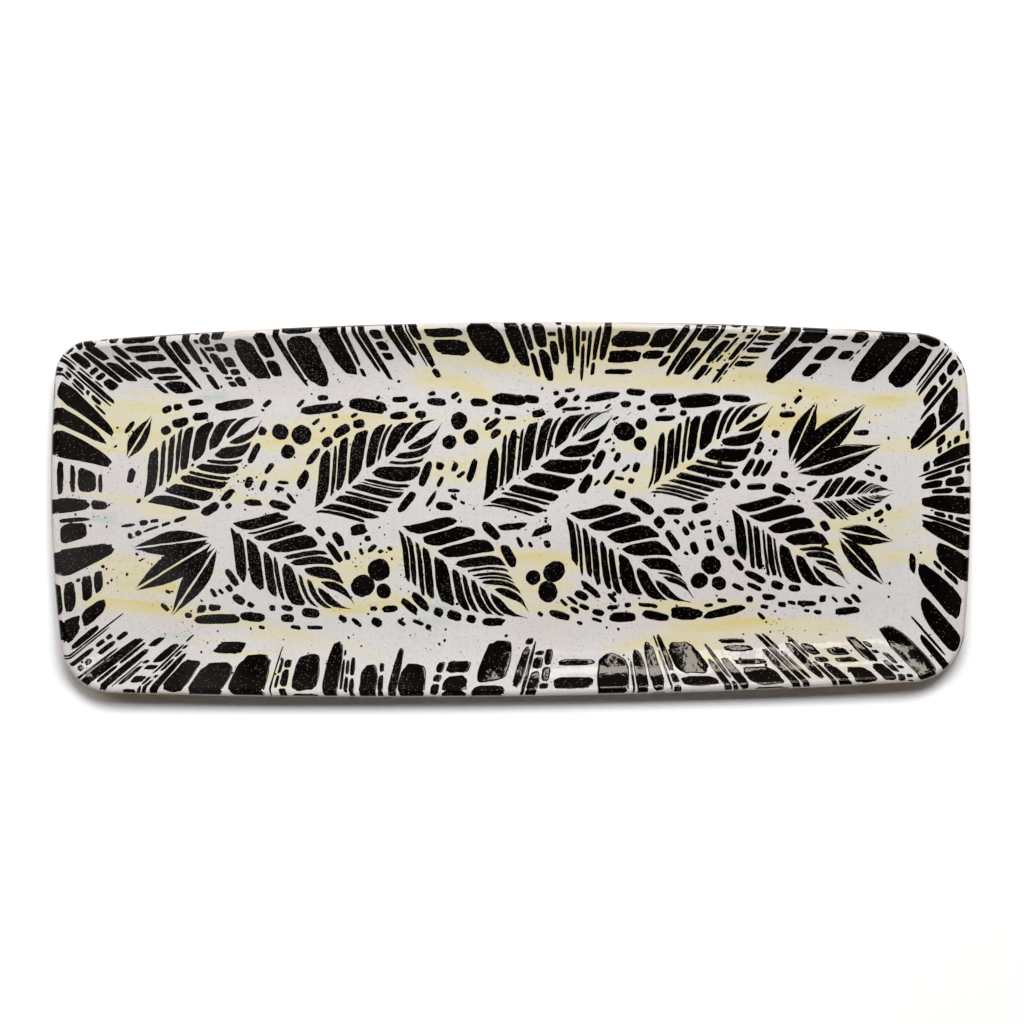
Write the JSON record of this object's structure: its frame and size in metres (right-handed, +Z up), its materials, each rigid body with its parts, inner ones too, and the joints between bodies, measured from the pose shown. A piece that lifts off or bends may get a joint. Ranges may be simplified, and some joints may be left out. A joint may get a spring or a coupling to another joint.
{
  "type": "rectangular platter",
  "caption": "Long hand-formed ceramic serving platter: bowed rectangular dish with soft corners and a low curved wall, glazed white with black leaf brushwork, on luted foot strips",
  "frame": {"origin": "on the surface the platter stands on, under the middle of its outline", "axes": "+X along the long way, +Y towards the back long side, +Z up out of the well"},
  "size_m": [0.6, 0.245, 0.027],
  "materials": {
    "fired_clay": "bare reddish earthenware, matt, fine grog",
    "white_glaze": "thin white tin-type glaze, satin gloss, warm where it breaks over the lip, pale yellow and green washes",
    "black_glaze": "thick black glaze brushed over wax resist, glossy with a fine pebbled skin"
  },
  "bodies": {
    "root": {"clay_body": "fired_clay", "foot_strip_front": "fired_clay", "foot_strip_back": "fired_clay", "foot_strip_left": "fired_clay", "foot_strip_right": "fired_clay", "face_glaze": "white_glaze", "back_glaze": "white_glaze", "black_brushwork": "black_glaze"}
  },
  "joints": []
}
